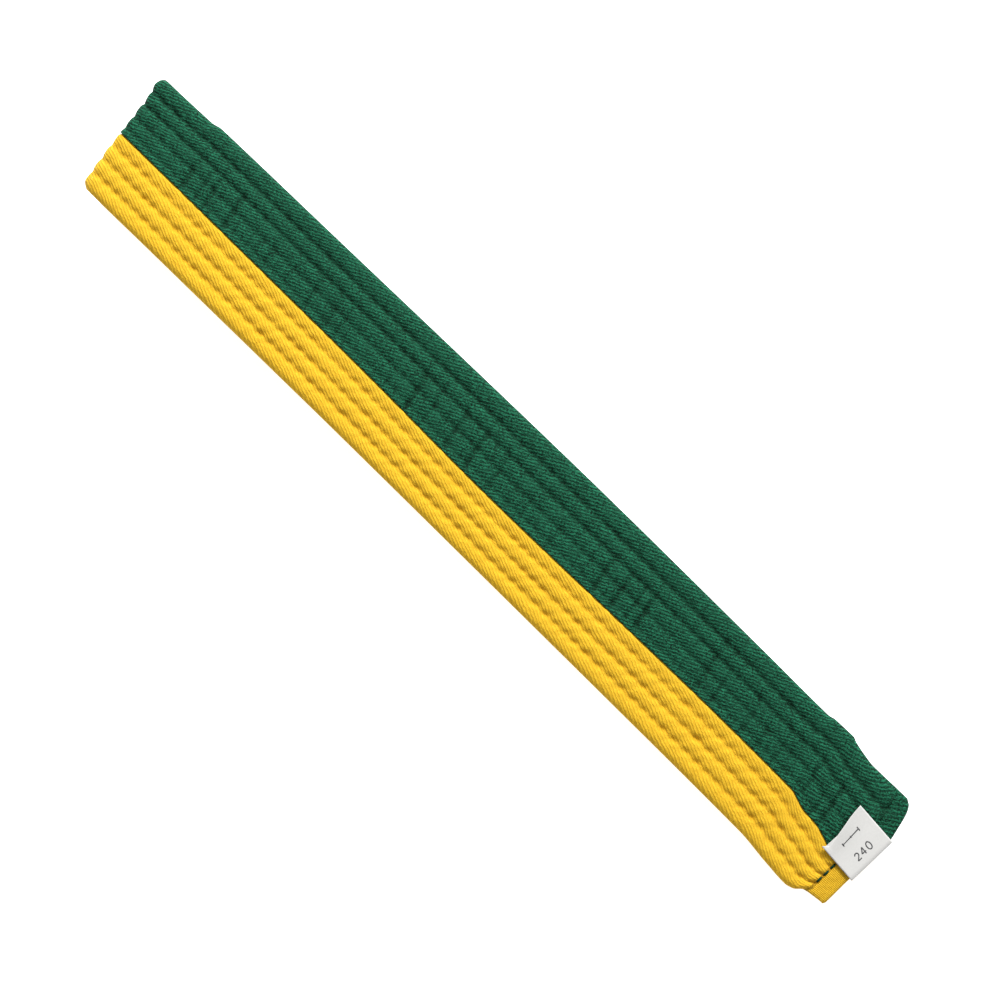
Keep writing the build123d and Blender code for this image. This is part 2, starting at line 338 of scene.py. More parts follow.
def surface(station, v, face):
    """Half the belt's thickness for every station (rows) and v (columns), on the N side or the other."""
    s = station.s[:, None]
    quilted = 1 - hem_share(station)[:, None]
    taut = 1 - TAUT_SHARE * np.sin(station.turn)[:, None]
    height = np.full((len(s), len(v)), RIDGE_HEIGHT)
    borders = (-HALF_WIDTH, *ROW_V, HALF_WIDTH)
    for low, high, crown in zip(borders, borders[1:], STRIP_CROWN):
        u = np.clip((v - low) / (high - low), 0, 1)
        height += crown * 4 * u * (1 - u) * quilted
    height -= (row_relief(station, v, face) + cross_puckers(station, v, face)) * quilted * taut
    height -= EDGE_CREASE_DEPTH * bell(v - EDGE_CREASE_V, EDGE_CREASE_WIDTH) * quilted
    height += LUMP_HEIGHT * (wander(s + 0.7 * v, 8.3, 97 + face) + wander(s - 0.9 * v, 5.9, 98 + face))
    loose = smoothstep(1 - (station.to_end - LOOSE_FROM) / LOOSE_LENGTH)[:, None] * quilted
    height += LOOSE_HEIGHT * loose * wander(s + 0.5 * v, 6.3, 101 + face) * np.cos(v / 2.6)
    hem_row = HEM_ROW_DEPTH * bell(station.to_end - HEM_LENGTH, HEM_ROW_WIDTH)[:, None]
    height -= hem_row * (0.75 + 0.25 * np.cos(2 * np.pi * v / HEM_STITCH_PITCH))
    height += LAP_HEIGHT * bell(v - SPLIT - LAP_MIDDLE, LAP_WIDTH) * (v >= SPLIT)
    height -= TUCK_DEPTH * bell(v - SPLIT, TUCK_WIDTH) * (v < SPLIT)
    height = np.minimum(height, LAYER_LIMIT)
    past = np.clip((np.abs(v) - (HALF_WIDTH - EDGE_ROUND)) / EDGE_ROUND, 0, 1)
    height = height * np.sqrt(1 - past**2)
    closing = np.clip(1 - station.to_end / END_ROUND, 0, 1)
    return height * np.sqrt(1 - END_SLIMMING * closing**2)[:, None]


# Each cover's edge at the split as (v past the split, drop below the surface): the green one laps over the
# yellow one, which is tucked 0.6 mm under it
LAP_EDGE = ((0.9, 0.62), (0.25, 0.50), (0, 0.42), (-0.12, 0.24), (0, 0.07))
LAP_FLAT_FROM = 0.25
TUCKED_EDGE = ((0.6, 0.78), (0.3, 0.62), (-0.05, 0.34), (-0.35, 0.12))
TUCKED_FLAT_FROM = -0.7
EDGE_RINGS = 9
EDGE_WRAP = 1.6  # cloth in the turn round an edge


def ring_of(side, spacing):
    """One colour's closed cross-section: arrays of v, face, drop below the surface, and cloth width."""
    edge = side * HALF_WIDTH
    angles = np.linspace(0, math.pi / 2, EDGE_RINGS)[1:]
    rounding = edge - side * EDGE_ROUND * (1 - np.sin(angles))
    flat_end = edge - side * EDGE_ROUND
    lead = LAP_EDGE if side > 0 else TUCKED_EDGE
    flat_start = SPLIT + (LAP_FLAT_FROM if side > 0 else TUCKED_FLAT_FROM)
    steps = int(abs(flat_end - flat_start) / spacing) + 1
    flat = np.linspace(flat_start, flat_end, steps)
    v_half = np.concatenate([[SPLIT + past for past, _ in lead], flat, rounding])
    drop_half = np.concatenate([[drop for _, drop in lead], np.zeros(steps + len(rounding))])
    v = np.concatenate([v_half, v_half[-2::-1]])
    drop = np.concatenate([drop_half, drop_half[-2::-1]])
    face = np.concatenate([np.ones(len(v_half)), -np.ones(len(v_half) - 1)])
    turned = side * (2 * HALF_WIDTH + EDGE_WRAP) - v
    width = np.where(face > 0, v, turned)
    return v, face, drop, width


# ---------------------------------------------------------------- making meshes


def mesh_piece(name, points, faces, material, attributes=None, flat_from=None):
    """A mesh object from N x 3 points in millimetres and arrays of faces, each with its own number of sides."""
    mesh = bpy.data.meshes.new(name)
    loops = np.concatenate([array.ravel() for array in faces]).astype(np.int32)
    sides = np.concatenate([np.full(len(array), array.shape[1]) for array in faces])
    mesh.vertices.add(len(points))
    mesh.vertices.foreach_set("co", (points * MM).astype(np.float32).ravel())
    mesh.loops.add(len(loops))
    mesh.loops.foreach_set("vertex_index", loops)
    mesh.polygons.add(len(sides))
    mesh.polygons.foreach_set("loop_start", np.concatenate([[0], np.cumsum(sides)[:-1]]).astype(np.int32))
    smooth = np.ones(len(sides), bool)
    if flat_from is not None:
        smooth[flat_from:] = False
    mesh.polygons.foreach_set("use_smooth", smooth)
    mesh.update(calc_edges=True)
    for label, values in (attributes or {}).items():
        kind, field = ("FLOAT_VECTOR", "vector") if values.ndim == 2 else ("FLOAT", "value")
        attribute = mesh.attributes.new(label, kind, "POINT")
        attribute.data.foreach_set(field, values.astype(np.float32).ravel())
    mesh.materials.append(material)
    piece = bpy.data.objects.new(name, mesh)
    bpy.context.scene.collection.objects.link(piece)
    return piece


def loft_faces(rows, columns):
    """Quads round closed rings, and the two faces that close the ends."""
    grid = np.arange(rows * columns).reshape(rows, columns)
    after = np.roll(grid, -1, axis=1)
    quads = np.stack([grid[:-1], after[:-1], after[1:], grid[1:]], axis=-1).reshape(-1, 4)
    caps = np.stack([grid[0][::-1], grid[-1]])
    return quads, caps


def outward(points, quads, caps):
    """The same faces, turned over if they enclose a negative volume."""
    corners = points[quads] - points.mean(0)
    volume = np.einsum("ij,ij->", corners[:, 0], np.cross(corners[:, 1], corners[:, 2]))
    volume += np.einsum("ij,ij->", corners[:, 0], np.cross(corners[:, 2], corners[:, 3]))
    return (quads, caps) if volume > 0 else (quads[:, ::-1], caps[:, ::-1])


END_RINGS = np.array([0.0, 0.05, 0.12, 0.22, 0.36, 0.55, 0.8, 1.1])  # s from a free end
BEND_RINGS = (0, 8, 18, 30, 44, 58, 72, 83, 88, 89.2, 89.4, 89.6, 89.8, 90)  # degrees, and the same mirrored


def blend_over_fold(piece):
    """Bakes a piece's object transform into its mesh."""
    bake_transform(piece)


def piece_span(fold):
    """(first s, last s) of what a fold's piece covers: the fold and half of each layer beside it."""
    first = 0.0 if fold == 1 else LAYER_START[fold - 1] + RUNS[fold - 1] / 2
    last = BELT_LENGTH if fold == LAYERS - 1 else LAYER_START[fold] + RUNS[fold] / 2
    return first, last


def piece_stations(fold, coarse, fine):
    """s of the rings of a fold's piece: fine on the top layer and in the bends."""
    first, last = piece_span(fold)
    bend_start = LAYER_START[fold] - ARC
    bend_end = LAYER_START[fold]
    before = np.linspace(first, bend_start, int((bend_start - first) / coarse) + 1)
    turn = np.concatenate([BEND_RINGS, 180 - np.array(BEND_RINGS[-2::-1])])
    bend = bend_start + np.radians(turn) * BEND_RADIUS
    spacing = fine if fold == LAYERS - 1 else coarse
    after = np.linspace(bend_end, last, int((last - bend_end) / spacing) + 1)
    rings = np.concatenate([before, bend, after])
    if fold == 1:
        rings = np.concatenate([END_RINGS, rings[rings > END_RINGS[-1] + 0.1]])
    if fold == LAYERS - 1:
        rings = np.concatenate([rings[rings < last - END_RINGS[-1] - 0.1], last - END_RINGS[::-1]])
    return np.unique(rings)


# ---------------------------------------------------------------- materials


class Nodes:
    """A short way to write a material's nodes."""

    def __init__(self, name):
        self.material = bpy.data.materials.new(name)
        self.material.use_nodes = True
        self.tree = self.material.node_tree
        self.shader = self.tree.nodes["Principled BSDF"]

    def link(self, socket, value):
        if isinstance(value, bpy.types.NodeSocket):
            self.tree.links.new(value, socket)
        else:
            socket.default_value = value

    def math(self, operation, *values, clamp=False):
        node = self.tree.nodes.new("ShaderNodeMath")
        node.operation = operation
        node.use_clamp = clamp
        for socket, value in zip(node.inputs, values):
            self.link(socket, value)
        return node.outputs[0]

    def mix(self, factor, a, b, blend_type="MIX"):
        node = self.tree.nodes.new("ShaderNodeMix")
        node.data_type = "RGBA"
        node.blend_type = blend_type
        colours = [i for i in node.inputs if i.type == "RGBA"]
        self.link(node.inputs[0], factor)
        self.link(colours[0], a)
        self.link(colours[1], b)
        return [o for o in node.outputs if o.type == "RGBA"][0]

    def attribute(self, name):
        node = self.tree.nodes.new("ShaderNodeAttribute")
        node.attribute_name = name
        return node

    def cloth(self):
        """The three values of the cloth attribute that every sewn mesh carries."""
        node = self.tree.nodes.new("ShaderNodeSeparateXYZ")
        self.link(node.inputs[0], self.attribute("cloth").outputs["Vector"])
        return node.outputs

    def vector(self, x, y, z=0.0):
        node = self.tree.nodes.new("ShaderNodeCombineXYZ")
        for socket, value in zip(node.inputs, (x, y, z)):
            self.link(socket, value)
        return node.outputs[0]

    def noise(self, vector, scale, detail=2.0):
        node = self.tree.nodes.new("ShaderNodeTexNoise")
        self.link(node.inputs["Vector"], vector)
        self.link(node.inputs["Scale"], scale)
        self.link(node.inputs["Detail"], detail)
        return node.outputs["Fac"]

    def bump(self, height, distance, strength=1.0):
        node = self.tree.nodes.new("ShaderNodeBump")
        self.link(node.inputs["Height"], height)
        self.link(node.inputs["Distance"], distance)
        self.link(node.inputs["Strength"], strength)
        self.link(self.shader.inputs["Normal"], node.outputs["Normal"])


RIB_DRIFT = 1.6  # how far the ribs wander, and how rough they are, in ribs
RIB_FUZZ = 1.1
HEM_RIB_PITCH = 0.72  # the ribs of a turned hem run straight along the belt
HEM_RIB_FUZZ = 0.25
TWILL_RELIEF = 0.00014  # in metres, as for every bump
# Noises of the twill as (scale, detail), and how much finer three of them are across a rib than along it
SWAY_NOISE, PATCH_NOISE = (0.09, 1.0), (0.16, 3.0)
FUZZ_NOISE, FUZZ_FINER = (0.9, 3.0), 2.0
DASH_NOISE, DASH_FINER = (0.75, 2.0), 2.6
GRAIN_NOISE, GRAIN_FINER = (1.9, 3.0), 1.8
DASH_CONTRAST = 3.0
DASH_LIT, DASH_UNLIT = 0.65, 0.25  # how bright a rib's floats are, and its gaps; the floats' brightness is a painted highlight in place of the yarn's gloss
LIT_BASE = 0.09
PATCH_FROM, PATCH_CONTRAST = 0.45, 1.2
GROOVE_SHADE_FROM, GROOVE_SHADE_RATE = 0.10, 1.5


def twill(name, angle, pitch, sparkle, dark, light, fade, painted_groove_shade):
    """Twill cloth: diagonal ribs of short floats, with painted shade in the stitched grooves and creases.

    angle is the ribs' lean from the belt's length, in degrees; pitch is the distance between ribs; sparkle is
    how strongly single threads stand out from the ribs as painted glints.
    """
    n = Nodes(name)
    s, w, groove = n.cloth()
    hem = n.attribute("hem").outputs["Fac"]
    lean = math.radians(angle)
    across_rib = n.math("ADD", n.math("MULTIPLY", s, -math.sin(lean)), n.math("MULTIPLY", w, math.cos(lean)))
    along_rib = n.math("ADD", n.math("MULTIPLY", s, math.cos(lean)), n.math("MULTIPLY", w, math.sin(lean)))
    sway = n.noise(n.vector(s, w), *SWAY_NOISE)
    fuzz = n.noise(n.vector(along_rib, n.math("MULTIPLY", across_rib, FUZZ_FINER)), *FUZZ_NOISE)
    phase = n.math("ADD", n.math("DIVIDE", across_rib, pitch), n.math("MULTIPLY", sway, RIB_DRIFT))
    phase = n.math("ADD", phase, n.math("MULTIPLY", fuzz, RIB_FUZZ))
    hem_phase = n.math("ADD", n.math("DIVIDE", w, HEM_RIB_PITCH), n.math("MULTIPLY", fuzz, HEM_RIB_FUZZ))
    straight = n.math("SUBTRACT", 1.0, hem)
    phase = n.math("ADD", n.math("MULTIPLY", phase, straight), n.math("MULTIPLY", hem_phase, hem))
    wave = n.math("SINE", n.math("MULTIPLY", phase, 2 * math.pi))
    rib = n.math("MULTIPLY_ADD", wave, 0.5, 0.5)
    dash = n.noise(n.vector(along_rib, n.math("MULTIPLY", across_rib, DASH_FINER)), *DASH_NOISE)
    dash = n.math("MULTIPLY_ADD", n.math("SUBTRACT", dash, 0.5), DASH_CONTRAST, 0.5, clamp=True)
    grain = n.noise(n.vector(along_rib, n.math("MULTIPLY", across_rib, GRAIN_FINER)), *GRAIN_NOISE)
    # Painted highlight: the bright floats of each rib and the single threads that sparkle stand in for the yarn's
    # gloss; the ribs and grain also carry the cloth's own uneven tone.
    lit = n.math("MULTIPLY", rib, n.math("MULTIPLY_ADD", dash, DASH_LIT, DASH_UNLIT))
    lit = n.math("ADD", lit, LIT_BASE)
    lit = n.math("MULTIPLY_ADD", n.math("SUBTRACT", grain, 0.5), sparkle, lit, clamp=True)
    colour = n.mix(lit, (*dark, 1), (*light, 1))
    patches = n.noise(n.vector(s, w), *PATCH_NOISE)
    patches = n.math("MULTIPLY", n.math("SUBTRACT", patches, PATCH_FROM), PATCH_CONTRAST, clamp=True)
    colour = n.mix(patches, colour, (*fade, 1))
    # Painted shade: the colour is darkened towards the groove shade colour where the cloth attribute's third value
    # says the surface lies low, in the grooves and creases.
    sunk = n.math("MULTIPLY", n.math("SUBTRACT", groove, GROOVE_SHADE_FROM), GROOVE_SHADE_RATE, clamp=True)
    shade = n.mix(sunk, (1, 1, 1, 1), (*painted_groove_shade, 1))
    n.link(n.shader.inputs["Base Color"], n.mix(1.0, colour, shade, "MULTIPLY"))
    n.shader.inputs["Roughness"].default_value = 0.85
    n.shader.inputs["Specular IOR Level"].default_value = 0.12
    n.shader.inputs["Sheen Weight"].default_value = 0.03
    n.shader.inputs["Sheen Roughness"].default_value = 0.5
    height = n.math("MULTIPLY_ADD", grain, 0.5, n.math("MULTIPLY", rib, n.math("MULTIPLY_ADD", dash, 0.3, 0.7)))
    n.bump(height, TWILL_RELIEF)
    return n.material


PLY_PITCH = 0.5
THREAD_RELIEF = 0.00004


def thread(name, dark, light):
    """Spun sewing thread, with the twist of its plies."""
    n = Nodes(name)
    along, round_it, _ = n.cloth()
    turns = n.math("ADD", n.math("DIVIDE", along, PLY_PITCH), round_it)
    twist = n.math("SINE", n.math("MULTIPLY", turns, 2 * math.pi))
    ply = n.math("MULTIPLY_ADD", twist, 0.5, 0.5)
    n.link(n.shader.inputs["Base Color"], n.mix(ply, (*dark, 1), (*light, 1)))
    n.shader.inputs["Roughness"].default_value = 0.7
    n.shader.inputs["Specular IOR Level"].default_value = 0.1
    n.bump(ply, THREAD_RELIEF)
    return n.material


WEFT_PITCH, WARP_PITCH = 0.22, 0.3
SATIN_SHADE = 0.88
SATIN_RELIEF = 0.00002


def satin(name, colour):
    """White woven label tape: fine ribs across it, and a soft gloss."""
    n = Nodes(name)
    along, w, _ = n.cloth()
    weft = n.math("SINE", n.math("MULTIPLY", along, 2 * math.pi / WEFT_PITCH))
    warp = n.math("SINE", n.math("MULTIPLY", w, 2 * math.pi / WARP_PITCH))
    weave = n.math("MULTIPLY_ADD", n.math("MULTIPLY", weft, warp), 0.5, 0.5)
    slubs = n.noise(n.vector(n.math("MULTIPLY", along, 3.0), w), 0.8, 2.0)
    tone = n.math("ADD", n.math("MULTIPLY", weave, 0.35), n.math("MULTIPLY", slubs, 0.65))
    darker = tuple(SATIN_SHADE * c for c in colour)
    n.link(n.shader.inputs["Base Color"], n.mix(tone, (*darker, 1), (*colour, 1)))
    n.shader.inputs["Roughness"].default_value = 0.48
    n.shader.inputs["Specular IOR Level"].default_value = 0.45
    n.shader.inputs["Sheen Weight"].default_value = 0.1
    n.bump(weave, SATIN_RELIEF)
    return n.material


def ink(name):
    """Dark grey print, a little worn by the weave under it."""
    n = Nodes(name)
    coordinates = n.tree.nodes.new("ShaderNodeTexCoord")
    wear = n.noise(coordinates.outputs["Object"], 4000.0, 2.0)
    n.link(n.shader.inputs["Base Color"], n.mix(wear, (0.02, 0.02, 0.022, 1), (0.12, 0.12, 0.125, 1)))
    n.shader.inputs["Roughness"].default_value = 0.7
    return n.material


GREEN = twill(
    "green_twill", 26.5, 0.995, sparkle=3.2,
    dark=(0.0007, 0.010, 0.0045), light=(0.015, 0.160, 0.082), fade=(0.009, 0.080, 0.042),
    painted_groove_shade=(0.42, 0.50, 0.46),
)
YELLOW = twill(
    "yellow_twill", -22.5, 0.885, sparkle=2.2,
    dark=(0.60, 0.335, 0.015), light=(0.81, 0.505, 0.029), fade=(0.78, 0.475, 0.024),
    painted_groove_shade=(0.84, 0.76, 0.55),
)
GREEN_THREAD = thread("green_thread", (0.002, 0.018, 0.009), (0.007, 0.060, 0.030))
YELLOW_THREAD = thread("yellow_thread", (0.44, 0.22, 0.008), (0.70, 0.40, 0.018))
SATIN = satin("label_satin", (0.64, 0.635, 0.615))
INK = ink("label_ink")

# ---------------------------------------------------------------- the covers

FINE = 0.46
COARSE = 1.2
TOP_SPACING = 0.45
HIDDEN_SPACING = 0.7
GROOVE_FROM = 0.2  # how far over the ridges' base height the shade of the grooves starts
SPLIT_SHADE, SPLIT_SHADE_WIDTH = 0.55, 0.55  # painted shadow that the green edge's lap casts on the yellow beside the split
HEM_CLOTH_RAMP = 0.4
MOST_DROP = 0.8  # of the height


def cover(fold, side):
    """One colour's cover over a fold and the layers beside it, as one closed form."""
    station = Station(piece_stations(fold, COARSE, FINE))
    spacing = TOP_SPACING if fold == LAYERS - 1 else HIDDEN_SPACING
    v, face, drop, width = ring_of(side, spacing)
    upper = surface(station, v, 1)
    lower = surface(station, v, -1)
    height = np.where(face > 0, upper, lower)
    thin = np.minimum(drop, MOST_DROP * height)
    points = place(station, v, face * (height - thin))
    rows, columns = points.shape[:2]
    flat_points = points.reshape(-1, 3)
    quads, caps = outward(flat_points, *loft_faces(rows, columns))
    on_face = drop == 0
    # Painted shade, carried to the twill by the cloth attribute's third value: how far the surface lies below the
    # ridges' base height, in the grooves and creases of the quilting.
    groove = np.clip(RIDGE_HEIGHT + GROOVE_FROM - height, 0, 1) * (np.abs(v) < HALF_WIDTH - EDGE_ROUND) * on_face
    # Painted shadow of the green lap on the yellow, added to the same painted shade.
    groove = np.maximum(groove, SPLIT_SHADE * bell(v - SPLIT, SPLIT_SHADE_WIDTH) * (side < 0) * on_face)
    groove = groove * (station.to_end > END_ROUND)[:, None]
    run = np.broadcast_to(station.s[:, None], groove.shape)
    cloth = np.stack([run, np.broadcast_to(width, groove.shape), groove], -1)
    in_hem = smoothstep((HEM_LENGTH - station.to_end) / HEM_CLOTH_RAMP)[:, None]
    hem = np.broadcast_to(in_hem * (side < 0), groove.shape)
    colour = "green" if side > 0 else "yellow"
    piece = mesh_piece(
        f"{colour}_cover_{fold}",
        flat_points,
        (quads, caps),
        GREEN if side > 0 else YELLOW,
        {"cloth": cloth.reshape(-1, 3), "hem": hem.ravel()},
        flat_from=len(quads),
    )
    blend_over_fold(piece)
    stands_for = [f"layer_{fold}_{colour}_cover", f"fold_{fold}_{colour}_cover"]
    stands_for += [f"layer_{fold}_core", f"fold_{fold}_core"]
    if fold == LAYERS - 1:
        stands_for += [f"layer_{LAYERS}_{colour}_cover", f"layer_{LAYERS}_core"]
    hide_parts(*stands_for)


# ---------------------------------------------------------------- the stitching


def tube_piece(name, points, material, along):
    """One mesh from many tubes, given as tubes x rings x sides x 3."""
    count, rings, sides = points.shape[:3]
    quads, caps = outward(points[0].reshape(-1, 3), *loft_faces(rings, sides))
    first = (np.arange(count) * rings * sides)[:, None, None]
    all_quads = (quads[None] + first).reshape(-1, 4)
    all_caps = (caps[None] + first).reshape(-1, sides)
    round_it = np.broadcast_to(np.linspace(0, 1, sides, endpoint=False), points.shape[:3])
    run = np.broadcast_to(along[..., None], points.shape[:3])
    cloth = np.stack([run, round_it, np.zeros_like(run)], axis=-1).reshape(-1, 3)
    return mesh_piece(name, points.reshape(-1, 3), (all_quads, all_caps), material, {"cloth": cloth})


THREAD_ANGLES = np.linspace(0, 2 * np.pi, 6, endpoint=False)
THREAD_RADIUS = 0.15
THREAD_SUNK = 0.03
THREAD_DIVE = 0.35  # how much deeper a stitch lies at its two ends
THREAD_WANDER = 0.06
STITCH_POINTS = 6
STITCH_SHARE = (0.07, 0.93)  # of a stitch's pitch, from where its thread comes up to where it dives
ROWS_STOP = HEM_LENGTH + 0.8


def dive(share, depth):
    """How far a stitch lies under its middle, at shares of its length."""
    return depth * (2 * share - 1) ** 4


def round_thread(line, radius, aside):
    """Rings x sides x 3 points round a thread.

    line gives the thread's points when it is raised by a height, and aside is the axis across the thread.
    """
    sides = []
    for angle in THREAD_ANGLES:
        points = line(radius * math.sin(angle))
        points[:, aside] += radius * math.cos(angle)
        sides.append(points)
    return np.stack(sides, 1)


def quilting(fold, side):
    """The rows of stitches of one colour on both faces, over a fold and the layers beside it."""
    first, last = piece_span(fold)
    first = max(first, ROWS_STOP)
    last = min(last, BELT_LENGTH - ROWS_STOP)
    share = np.linspace(0, 1, STITCH_POINTS)
    parts, runs = [], []
    for i, row in enumerate(ROW_V):
        if (row > SPLIT) != (side > 0):
            continue
        for face in (1, -1):
            holes = np.arange(math.ceil(first / STITCH_PITCH), math.floor(last / STITCH_PITCH)) * STITCH_PITCH
            holes = holes - STITCH_PITCH * drift(holes, i, face)
            from_hinge = (LAYER_START[fold] - ARC / 2) - holes
            holes = holes[(from_hinge < 0) | (from_hinge > STITCH_PITCH)]  # no stitch lies over the hinge
            up, down = STITCH_SHARE
            s = holes[:, None] + STITCH_PITCH * (up + (down - up) * share)
            station = Station(s.ravel())
            floor = surface(station, np.array([row]), face)[:, 0]
            middle = floor - THREAD_SUNK - np.tile(dive(share, THREAD_DIVE), len(holes))
            shift = THREAD_WANDER * wander(s.ravel(), 3.1, 200 + i)

            def line(raised):
                points = place(station, np.array([row]), face * (middle + raised)[:, None])[:, 0]
                points[:, 1] += shift
                return points

            rings = round_thread(line, THREAD_RADIUS, aside=1)
            parts.append(rings.reshape(len(holes), STITCH_POINTS, len(THREAD_ANGLES), 3))
            runs.append(s)
    colour = "green" if side > 0 else "yellow"
    material = GREEN_THREAD if side > 0 else YELLOW_THREAD
    piece = tube_piece(f"{colour}_quilting_{fold}", np.concatenate(parts), material, np.concatenate(runs))
    blend_over_fold(piece)
    stands_for = [f"layer_{fold}_stitching"]
    if fold == LAYERS - 1:
        stands_for.append(f"layer_{LAYERS}_stitching")
    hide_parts(*stands_for)


END_STITCH_POINTS = 8
HEM_THREAD_RADIUS = 0.33
HEM_THREAD_RISE = 0.12
HEM_ROW_WANDER = 0.12


def hem_row(name, layer, node):
    """The row of dark green stitches across a free end, on both faces."""
    at = HEM_LENGTH if layer == 1 else BELT_LENGTH - HEM_LENGTH
    share = np.linspace(0, 1, END_STITCH_POINTS)
    middles = np.arange(*HEM_STITCHES_V, HEM_STITCH_PITCH)
    parts, runs = [], []
    for face in (1, -1):
        for middle in middles:
            v = middle + HEM_STITCH_LENGTH * (share - 0.5)
            station = Station(np.full(1, at) + HEM_ROW_WANDER * math.sin(middle))
            lift = surface(station, v, face)[0] + HEM_THREAD_RISE - dive(share, HEM_ROW_DEPTH)

            def line(raised):
                return place(station, v, face * (lift + raised)[None])[0]

            parts.append(round_thread(line, HEM_THREAD_RADIUS, aside=0))
            runs.append(v)
    piece = tube_piece(name, np.stack(parts), GREEN_THREAD, np.stack(runs))
    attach(piece, f"layer_{layer}")
    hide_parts(node)


# ---------------------------------------------------------------- the size label

LABEL_WIDTH = 16.2
LABEL_THICKNESS = 0.24
# The label's run seen from the side, from the flap's free edge to the end of the tail, as distances past the
# belt's end and above its top
LABEL_RUN = (
    (-12.65, 0.85), (-10.25, 0.66), (-6.65, 0.50), (-2.65, 0.55), (-0.15, 0.60), (0.90, 0.22),
    (0.95, -0.7), (0.75, -1.8), (-0.25, -2.53), (-2.15, -2.55), (-3.85, -2.55),
)
LABEL_TAIL_DROP = 2.55
LABEL_SKEW = -0.085
LABEL_SKEW_PIVOT = 6.65  # back from the belt's end
LABEL_CENTRE_Y = -0.05
LABEL_CURVE_POINTS, LABEL_LINE_POINTS = 400, 240
LABEL_FLAP_LENGTH = 13.0
LABEL_FREE_EDGE = 5.0  # what the free edge's shape reaches over
LABEL_CUT = 1.7  # how much further back one side of the free edge is cut
LABEL_FRAY = 0.15
LABEL_CURL = (0.10, 0.14)  # across the flap, and along it
LABEL_TURN = 0.04  # how much the tape turns at the belt's end
LABEL_CORNER = (1.6, 0.3)  # how far the lower left corner flares out, and lifts
LABEL_STITCHES = 4
LABEL_STITCH_PITCH = 3.6
LABEL_STITCH_LENGTH = 2.4
LABEL_STITCH_DIVE = 0.25
LABEL_THREAD_RADIUS = 0.14
LABEL_SEAM_FROM_END = 2.4


def label_line():
    """Points (x, z) evenly along the label's run, and the distance run."""
    key = np.array(LABEL_RUN) + (LABELLED_END_X, TOP_Z)
    run = np.concatenate([[0], np.cumsum(np.hypot(*np.diff(key, axis=0).T))])
    fine = np.linspace(0, run[-1], LABEL_CURVE_POINTS)
    x, z = (curve_through(list(zip(run, key[:, i])), fine) for i in (0, 1))
    length = np.concatenate([[0], np.cumsum(np.hypot(np.diff(x), np.diff(z)))])
    even = np.linspace(0, length[-1], LABEL_LINE_POINTS)
    return np.interp(even, length, x), np.interp(even, length, z), even


def label_point(q, y, out):
    """Points of the label at distance q along it and y across it, standing out from its middle surface."""
    x_line, z_line, run = label_line()
    x = np.interp(q, run, x_line)
    z = np.interp(q, run, z_line)
    slope_x = np.interp(q, run, np.gradient(x_line, run))
    slope_z = np.interp(q, run, np.gradient(z_line, run))
    flap = smoothstep(1 - q / LABEL_FLAP_LENGTH)
    free_edge = smoothstep(1 - q / LABEL_FREE_EDGE)
    x = x + free_edge * (LABEL_CUT * smoothstep((4.5 - y) / 11.0) + LABEL_FRAY * np.sin(y / 1.9 + 0.6))
    curl_across, curl_along = LABEL_CURL
    z = z + flap * (curl_across * np.sin(y / 3.1 + 0.9) + curl_along * np.cos(q / 2.2 + y / 4.0))
    x = x + LABEL_TURN * (y - LABEL_WIDTH / 2) * smoothstep((q - 8) / 4)
    corner = smoothstep((-y - 6.3) / 1.8) * free_edge
    flare, lift = LABEL_CORNER
    x = x - flare * corner
    z = z + lift * corner
    bend = np.hypot(slope_x, slope_z)
    y_turned = LABEL_CENTRE_Y + y + LABEL_SKEW * (x - LABELLED_END_X + LABEL_SKEW_PIVOT)
    return np.stack([x - out * slope_z / bend, y_turned, z + out * slope_x / bend], -1)


def size_label():
    """The label as one thin sheet, from its sewn tail round the belt's end to the flap on top."""
    along, wide = ((90, 40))
    length = label_line()[2][-1]
    half = LABEL_WIDTH / 2
    q, y = np.meshgrid(np.linspace(0, length, along), np.linspace(-half, half, wide), indexing="ij")
    upper = label_point(q, y, LABEL_THICKNESS / 2)
    lower = label_point(q, y, -LABEL_THICKNESS / 2)
    points = np.concatenate([upper, lower[:, ::-1]], axis=1)
    cloth = np.stack([q, y, np.zeros_like(q)], -1)
    cloth = np.concatenate([cloth, cloth[:, ::-1]], axis=1)
    flat_points = points.reshape(-1, 3)
    quads, caps = outward(flat_points, *loft_faces(along, 2 * wide))
    piece = mesh_piece(
        "size_label", flat_points, (quads, caps), SATIN, {"cloth": cloth.reshape(-1, 3)}, flat_from=len(quads)
    )
    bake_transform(piece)
    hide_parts("size_label_flap", "size_label_tail")


STROKE_POINTS = 6  # for each point given
STROKE_SUNK = 0.02


def stroke(points, width, height):
    """A flat printed stroke on the label through (q, y) points: a closed strip of that width."""
    key = np.array(points, float)
    run = np.concatenate([[0], np.cumsum(np.hypot(*np.diff(key, axis=0).T))])
    even = np.linspace(0, run[-1], STROKE_POINTS * len(key))
    q, y = np.interp(even, run, key[:, 0]), np.interp(even, run, key[:, 1])
    dq, dy = np.gradient(q), np.gradient(y)
    size = np.hypot(dq, dy)
    side_q, side_y = -dy / size * width / 2, dq / size * width / 2
    low, high = LABEL_THICKNESS / 2 - STROKE_SUNK, LABEL_THICKNESS / 2 + height
    corners = [
        label_point(q + side_q, y + side_y, high), label_point(q - side_q, y - side_y, high),
        label_point(q - side_q, y - side_y, low), label_point(q + side_q, y + side_y, low),
    ]
    return np.stack(corners, 1)


def arc_points(q, y, radius_q, radius_y, start, end, count=9):
    """Points (q, y) round part of an ellipse, in degrees from +y towards -q."""
    angle = np.radians(np.linspace(start, end, count))
    return [(q - radius_q * math.sin(a), y + radius_y * math.cos(a)) for a in angle]


